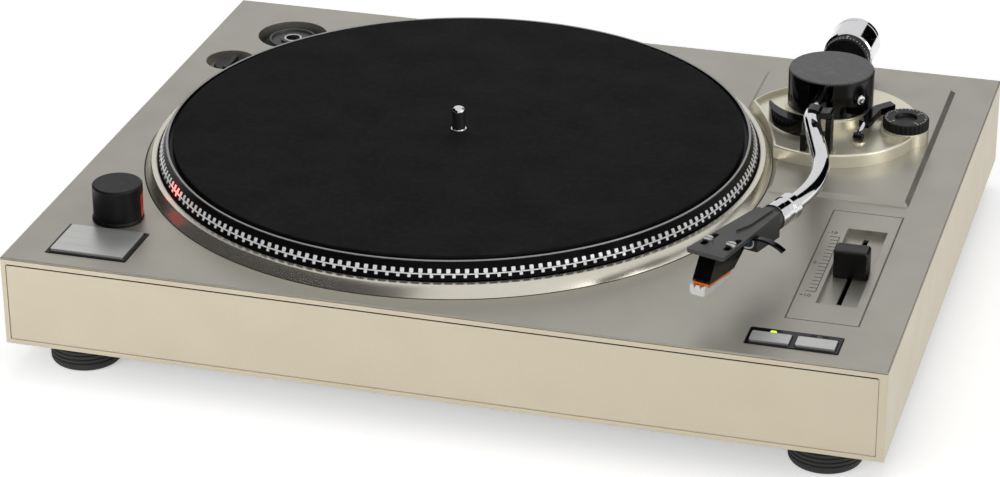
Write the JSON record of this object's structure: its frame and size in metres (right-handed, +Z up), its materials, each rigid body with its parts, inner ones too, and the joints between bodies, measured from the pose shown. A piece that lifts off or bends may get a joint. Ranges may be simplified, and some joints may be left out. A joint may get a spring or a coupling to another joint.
{
  "type": "turntable",
  "caption": "Belt driven record player on a flat plinth, with a dotted platter rim, rubber mat, S shaped arm, arm lift, pitch slider, start and speed keys.",
  "frame": {"origin": "on the ground under the middle of the plinth", "axes": "+X to the right of the front, +Y to the back, +Z up"},
  "size_m": [0.45, 0.352, 0.1034],
  "materials": {
    "champagne_paint": "satin metallic",
    "deck_paint": "satin metallic",
    "tray_paint": "satin metallic",
    "cast_aluminium": "machined",
    "mat_rubber": "fine ribbed matte",
    "foot_rubber": "matte",
    "belt_rubber": "matte",
    "chrome": "polished",
    "steel": "turned",
    "bronze": "turned",
    "black_gloss": "gloss",
    "black_matte": "fine textured",
    "grey_matte": "fine textured",
    "silver_button": "satin",
    "red_lens": "clear red",
    "lamp": "clear",
    "board": "laminate",
    "core_steel": "laminated",
    "orange_plastic": "gloss",
    "clear_guard": "translucent",
    "lead_wire": "insulated",
    "adaptor_black": "satin"
  },
  "bodies": {
    "base": {"top_plate": "deck_paint", "plinth_frame": "champagne_paint", "front_panel": "champagne_paint", "bottom_cover": "black_matte", "case_screws": "steel", "foot_front_left": "foot_rubber", "foot_front_right": "foot_rubber", "foot_rear_left": "foot_rubber", "foot_rear_right": "foot_rubber", "bearing_housing": "steel", "bearing_sleeve": "bronze", "drive_belt": "belt_rubber", "motor": "steel", "strobe_tower": "black_matte", "strobe_window": "red_lens", "power_switch": "black_matte", "start_bezel": "black_matte", "speed_bezel": "black_gloss", "speed_lamps": "lamp", "button_boards": "board", "pitch_fader": "black_matte", "jack_panel": "black_matte", "rear_terminals": "steel", "power_inlet": "black_matte", "main_board": "board", "transformer": "core_steel", "arm_base": "tray_paint", "turret_seat": "tray_paint", "arm_pillar": "steel", "arm_rest": "black_matte"},
    "platter_group": {"platter": "cast_aluminium", "platter_mat": "mat_rubber", "spindle": "chrome"},
    "pulley": {"motor_pulley": "bronze"},
    "start_key": {"start_button": "silver_button"},
    "key_33": {"speed_button_33": "silver_button"},
    "key_45": {"speed_button_45": "silver_button"},
    "pitch_slider": {"pitch_cap": "black_matte"},
    "mains_knob": {"power_knob": "black_matte"},
    "adaptor": {"record_adaptor": "adaptor_black"},
    "turret": {"arm_turret": "black_gloss", "turret_cap": "grey_matte", "pivot_screws": "chrome"},
    "wand": {"bearing_block": "steel", "arm_tube": "chrome", "weight_shaft": "chrome"},
    "weight": {"counterweight": "chrome"},
    "weight_dial": {"force_dial": "black_matte"},
    "collar": {"locking_collar": "chrome"},
    "head": {"headshell": "black_matte", "cartridge": "black_gloss", "stylus": "orange_plastic", "cartridge_screws": "steel", "cartridge_leads": "lead_wire", "finger_lift": "black_gloss"},
    "guard": {"stylus_guard": "clear_guard"},
    "side_force_dial": {"antiskate_dial": "black_matte"},
    "clip": {"rest_clip": "black_gloss"},
    "lift": {"cue_lift": "black_matte"},
    "lever": {"cue_lever": "black_matte"}
  },
  "joints": [
    {"name": "platter_spin", "type": "hinge", "parent": "base", "child": "platter_group", "pos_m": [-0.038, 0.0008, 0], "axis": [0, 0, 1], "continuous": true},
    {"name": "pulley_spin", "type": "hinge", "parent": "base", "child": "pulley", "pos_m": [-0.12144, 0.08424, 0.056], "axis": [0, 0, 1], "continuous": true},
    {"name": "start_press", "type": "slide", "parent": "base", "child": "start_key", "axis": [0, 0, -1], "range_m": [0, 0.0012], "stiffness_N_per_m": 400, "springref_m": -0.001},
    {"name": "speed_33_press", "type": "slide", "parent": "base", "child": "key_33", "axis": [0, 0, -1], "range_m": [0, 0.0012], "stiffness_N_per_m": 400, "springref_m": -0.001},
    {"name": "speed_45_press", "type": "slide", "parent": "base", "child": "key_45", "axis": [0, 0, -1], "range_m": [0, 0.0012], "stiffness_N_per_m": 400, "springref_m": -0.001},
    {"name": "pitch_slide", "type": "slide", "parent": "base", "child": "pitch_slider", "axis": [0, 1, 0], "range_m": [-0.03, 0.0375]},
    {"name": "power_turn", "type": "hinge", "parent": "base", "child": "mains_knob", "pos_m": [-0.2008, 0.0895, 0.056], "axis": [0, 0, 1], "range_deg": [-60, 0]},
    {"name": "adaptor_lift_out", "type": "slide", "parent": "base", "child": "adaptor", "axis": [0, 0, 1], "range_m": [0, 0.05]},
    {"name": "arm_swing", "type": "hinge", "parent": "base", "child": "turret", "pos_m": [0.1443, 0.0926, 0.081], "axis": [0, 0, 1], "range_deg": [-46, 0]},
    {"name": "arm_tilt", "type": "hinge", "parent": "turret", "child": "wand", "pos_m": [0.1443, 0.0926, 0.0872], "axis": [-0.9703, 0.2419, 0], "range_deg": [0, 2.5]},
    {"name": "counterweight_turn", "type": "hinge", "parent": "wand", "child": "weight", "pos_m": [0.1443, 0.0926, 0.0872], "axis": [0, 0.9993, -0.0373], "continuous": true},
    {"name": "force_dial_turn", "type": "hinge", "parent": "weight", "child": "weight_dial", "pos_m": [0.1443, 0.0926, 0.0872], "axis": [0, 0.9993, -0.0373], "continuous": true},
    {"name": "collar_turn", "type": "hinge", "parent": "wand", "child": "collar", "pos_m": [0.15011, -0.08743, 0.09393], "axis": [-0.3007, -0.9531, 0.0356], "range_deg": [0, 60]},
    {"name": "headshell_pull", "type": "slide", "parent": "wand", "child": "head", "axis": [-0.3007, -0.9531, 0.0356], "range_m": [0, 0.015]},
    {"name": "guard_pull", "type": "slide", "parent": "head", "child": "guard", "axis": [-0.3007, -0.9531, 0.0356], "range_m": [0, 0.025]},
    {"name": "antiskate_turn", "type": "hinge", "parent": "base", "child": "side_force_dial", "pos_m": [0.188, 0.079, 0.078], "axis": [0, 0, 1], "range_deg": [0, 270]},
    {"name": "clip_open", "type": "hinge", "parent": "base", "child": "clip", "pos_m": [0.1541, 0.038, 0.09634], "axis": [0, 1, 0], "range_deg": [0, 100]},
    {"name": "lift_rise", "type": "slide", "parent": "base", "child": "lift", "axis": [0, 0, 1], "range_m": [0, 0.0015]},
    {"name": "lever_raise", "type": "hinge", "parent": "base", "child": "lever", "pos_m": [0.1661, 0.0592, 0.0752], "axis": [0.9848, -0.1736, 0], "range_deg": [0, 20]}
  ],
  "couplings": [
    {"joint": "pulley_spin", "follows": "platter_spin", "ratio": 14.492},
    {"joint": "lift_rise", "follows": "arm_tilt", "m_per_rad": 0.034377},
    {"joint": "lever_raise", "follows": "arm_tilt", "ratio": 8}
  ]
}
